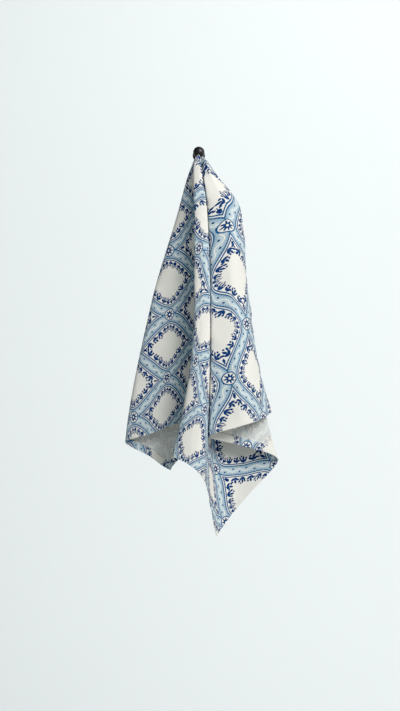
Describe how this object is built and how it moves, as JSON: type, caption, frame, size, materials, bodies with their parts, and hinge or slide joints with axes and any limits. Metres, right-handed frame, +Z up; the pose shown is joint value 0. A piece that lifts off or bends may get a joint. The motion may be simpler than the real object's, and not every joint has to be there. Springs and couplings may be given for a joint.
{
  "type": "tea towel on a wall peg",
  "caption": "Thin printed tea towel hung by the middle of one long hem from a small turned wall peg, opening downwards into folds.",
  "frame": {"origin": "centre of the peg's flat base, on the wall", "axes": "+Y from the room into the wall, +Z up, +X to the right of a viewer who faces the wall"},
  "size_m": [0.2561, 0.1186, 0.6505],
  "materials": {
    "printed_cotton": "thin plain-weave cotton, cream ground with a light blue and navy trellis print, paler reverse",
    "blackened_metal": "blackened metal, satin"
  },
  "bodies": {
    "root": {"towel": "printed_cotton", "peg": "blackened_metal"}
  },
  "joints": []
}
